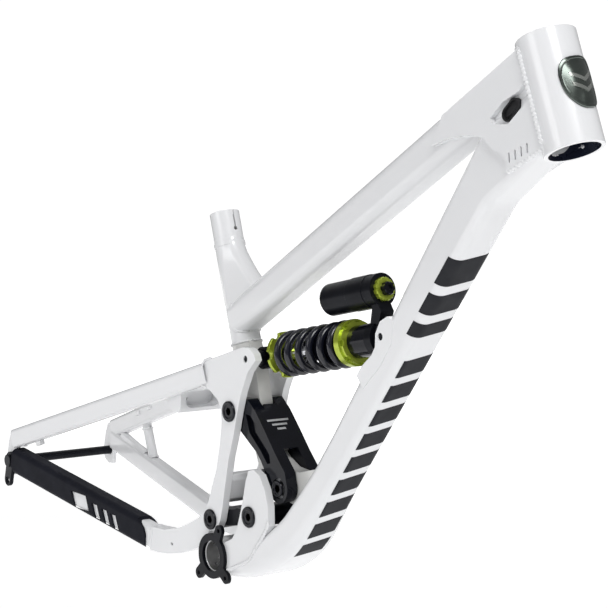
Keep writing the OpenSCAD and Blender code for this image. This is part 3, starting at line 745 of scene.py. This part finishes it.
# ---------------------------------------------------------------- small fittings
def plate_poly(name, outline, to, thick, mat, body):
    """a thin plate: outline in its own plane, 'to' maps (a, b, height) to the model"""
    n = len(outline)
    v = [to(a, b, thick) for a, b in outline] + [to(a, b, -0.6) for a, b in outline]
    f = [tuple(range(n)), tuple(range(n, 2 * n))[::-1]]
    f += [(i, n + i, n + (i + 1) % n, (i + 1) % n) for i in range(n)]
    return make(name, v, f, mat, body, smooth=40)


def build_emblem():
    """three plain bars on the upper link's front"""
    a, b = np.array([49.0, 185.0]), np.array([70.0, 166.0])
    e = (b - a) / np.linalg.norm(b - a)
    n = np.array([-e[1], e[0]])
    if n[1] < 0:
        n = -n
    mid = (a + b) / 2 + e * 6.0

    def to(u, w, h):
        return xyz(mid + e * w + n * h, u)

    for k, (w, hu, hw) in enumerate(((-6.0, 15.0, 1.3), (0.0, 10.5, 1.3), (6.0, 6.0, 1.3))):
        plate_poly("link_bar_%d" % k, [(-hu, w - hw), (hu, w - hw), (hu, w + hw), (-hu, w + hw)],
                   to, 0.14, PRINT, "upper_link_body")


def reservoir_rings(profile, n, notch_every, notch_width, notch_depth, notch_from):
    """rings (radius, distance along the shock) round the reservoir's axis, notched beyond a radius"""
    rings = []
    for r, t in profile:
        c = S2 + t * SHOCK_D + RES_OFF * SHOCK_N
        ring = []
        for i, a in enumerate(turn(n)):
            cut = 1.0 - (notch_depth if i % notch_every < notch_width and r > notch_from else 0.0)
            ring.append(xyz(c + r * cut * math.cos(a) * SHOCK_N, r * cut * math.sin(a)))
        rings.append(ring)
    return rings


def build_knob():
    """the adjuster at the reservoir's end: a notched lime ring with a notched black knob in it"""
    profile = ((5.5, 215.2), (12.9, 215.2), (12.9, 219.6), (12.2, 220.6), (8.4, 220.6), (8.0, 220.2),
               (5.5, 220.2))
    v, f = ring_loft(reservoir_rings(profile, 96, 8, 2, 0.085, 12), closed=True)
    ob = make("adjuster_ring", v, f, LIME, "compression_adjuster", smooth=30)
    profile = ((7.4, 219.0), (7.4, 225.8), (6.6, 226.9), (3.6, 226.9), (3.4, 224.8))
    v, f = ring_loft(reservoir_rings(profile, 72, 12, 4, 0.1, 6))
    make("adjuster_knob", v, f, BLACK_GLOSS, "compression_adjuster", smooth=30)
    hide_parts("knob_compression")


def on_head_tube(u, w, h):
    """a point on the badge: u round the tube in mm of arc, w up it, h off its skin"""
    ca, sa = math.cos(BADGE_TURN), math.sin(BADGE_TURN)
    a = (u * ca - w * sa) / HEAD_R
    forward = (HEAD_R + h) * math.cos(a) * unit(90 - HEAD_ANGLE)
    p = HEAD_LO + (BADGE_HEIGHT + u * sa + w * ca) * HEAD_D + forward
    return xyz(p, (HEAD_R + h) * math.sin(a))


def shield(scale):
    """the badge's outline, narrower at its foot"""
    half_w, half_h = 22.0, 25.5
    pts = []
    for a in turn(72):
        c, s = math.cos(a), math.sin(a)
        x = half_w * math.copysign(abs(c) ** 0.62, c)
        y = half_h * math.copysign(abs(s) ** 0.72, s)
        if y < 0:
            x *= 1 - 0.30 * (-y / half_h) ** 1.6
        pts.append((x * scale, y * scale))
    return pts


def chevron(name, y0):
    """a raised bent bar on the shield"""
    xs = np.linspace(-12.5, 12.5, 25)
    edges = {-2.0: [], 2.0: []}
    for x in xs:
        y = y0 + 0.62 * abs(x) - 6.5
        h = 3.4 - 1.9 * min(1, math.hypot(x / 20.5, y / 25.5)) ** 1.6 + 0.75
        for side in edges:
            edges[side].append(on_head_tube(x, y + side, h))
    v = edges[-2.0] + edges[2.0]
    for side in edges:
        v += [on_head_tube(x, y0 + 0.62 * abs(x) - 6.5 + side, 1.0) for x in xs]
    m = len(xs)
    f = []
    for i in range(m - 1):
        f += [(i, i + 1, m + i + 1, m + i), (2 * m + i, 3 * m + i, 3 * m + i + 1, 2 * m + i + 1),
              (i, 2 * m + i, 2 * m + i + 1, i + 1), (m + i, m + i + 1, 3 * m + i + 1, 3 * m + i)]
    f += [(0, m, 3 * m, 2 * m), (m - 1, 3 * m - 1, 4 * m - 1, 2 * m - 1)]
    make(name, v, f, BADGE_LIGHT, "front_triangle", smooth=35)


def build_badge():
    """a domed shield with two raised chevrons, on the front of the head tube"""
    steps = ((1.0, -0.6), (1.0, 1.3), (0.975, 2.0), (0.90, 2.2), (0.88, 1.7), (0.84, 1.55), (0.6, 2.6),
             (0.3, 3.2), (0.02, 3.4))
    v, f = ring_loft([[on_head_tube(x, y, h) for x, y in shield(scale)] for scale, h in steps])
    ob = make("badge_shield", v, f, BADGE, "front_triangle", smooth=35)
    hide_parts("head_badge")
    chevron("badge_chevron_0", 7.5)
    chevron("badge_chevron_1", -2.5)


# ---------------------------------------------------------------- light, ground, finish
def area(name, loc, target, size, power):
    """a square white light that faces the target"""
    d = bpy.data.lights.new(name, "AREA")
    d.energy = power
    d.shape, d.size, d.size_y = "RECTANGLE", size, size
    ob = bpy.data.objects.new(name, d)
    ob.location = loc
    ob.rotation_euler = (Vector(target) - Vector(loc)).to_track_quat("-Z", "Y").to_euler()
    bpy.context.scene.collection.objects.link(ob)


def build_world():
    """grey light from all round, brighter above; white where the camera sees past the floor"""
    w = bpy.data.worlds.new("studio")
    w.use_nodes = True
    bpy.context.scene.world = w
    nt = w.node_tree
    nt.nodes.clear()
    out = nt.nodes.new("ShaderNodeOutputWorld")
    mix = nt.nodes.new("ShaderNodeMixShader")
    lp = nt.nodes.new("ShaderNodeLightPath")
    lit = nt.nodes.new("ShaderNodeBackground")
    seen = nt.nodes.new("ShaderNodeBackground")
    seen.inputs["Color"].default_value = (1, 1, 1, 1)
    seen.inputs["Strength"].default_value = 1.05
    tc = nt.nodes.new("ShaderNodeTexCoord")
    sep = nt.nodes.new("ShaderNodeSeparateXYZ")
    ramp = nt.nodes.new("ShaderNodeValToRGB")
    nt.links.new(tc.outputs["Generated"], sep.inputs[0])
    mp = nt.nodes.new("ShaderNodeMapRange")
    mp.inputs["From Min"].default_value = -1
    mp.inputs["From Max"].default_value = 1
    nt.links.new(sep.outputs["Z"], mp.inputs["Value"])
    nt.links.new(mp.outputs["Result"], ramp.inputs["Fac"])
    e = ramp.color_ramp.elements
    e[0].position, e[0].color = 0.0, (0.34, 0.34, 0.35, 1)
    e[1].position, e[1].color = 1.0, (0.95, 0.95, 0.96, 1)
    m = ramp.color_ramp.elements.new(0.5)
    m.color = (0.52, 0.52, 0.535, 1)
    nt.links.new(ramp.outputs["Color"], lit.inputs["Color"])
    lit.inputs["Strength"].default_value = 0.37
    nt.links.new(lp.outputs["Is Camera Ray"], mix.inputs["Fac"])
    nt.links.new(lit.outputs[0], mix.inputs[1])
    nt.links.new(seen.outputs[0], mix.inputs[2])
    nt.links.new(mix.outputs[0], out.inputs["Surface"])


def build_floor():
    z, r = -0.36, 3.5
    me = bpy.data.meshes.new("floor")
    me.from_pydata([(-r, -r, z), (r, -r, z), (r, r, z), (-r, r, z)], [], [(0, 1, 2, 3)])
    m = Mat("floor_white", rough=0.9)
    m.b.inputs["Base Color"].default_value = (0.92, 0.92, 0.92, 1)
    m.b.inputs["Emission Color"].default_value = (1, 1, 1, 1)
    far = m.node("ShaderNodeVectorMath")
    far.operation = "LENGTH"
    m.link(m.co.outputs["Object"], far.inputs[0])
    mr = m.node("ShaderNodeMapRange", From_Min=1.4, From_Max=3.1, To_Min=0.46, To_Max=1.0)
    m.link(far.outputs["Value"], mr.inputs["Value"])
    m.link(mr.outputs["Result"], m.b.inputs["Emission Strength"])
    me.materials.append(m.m)
    ob = bpy.data.objects.new("floor", me)
    bpy.context.scene.collection.objects.link(ob)


def build_light():
    mid = (0.05, 0, 0.2)
    area("key", (1.9, -0.9, 2.9), mid, 1.3, 52)
    area("front", (2.6, 0.6, 1.2), mid, 0.9, 6)
    area("side", (-0.6, -3.0, 1.4), mid, 1.4, 15.5)
    area("rim", (-2.0, 2.0, 2.4), mid, 1.6, 12)


make_camera()
build_world()
dress_all()
build_down_tube()
build_spring()
build_seat_gusset()
build_pivots()
build_emblem()
build_knob()
build_badge()
build_welds()
build_decals()
build_floor()
build_light()
sc = bpy.context.scene
sc.view_settings.view_transform = "Standard"
sc.view_settings.look = "None"
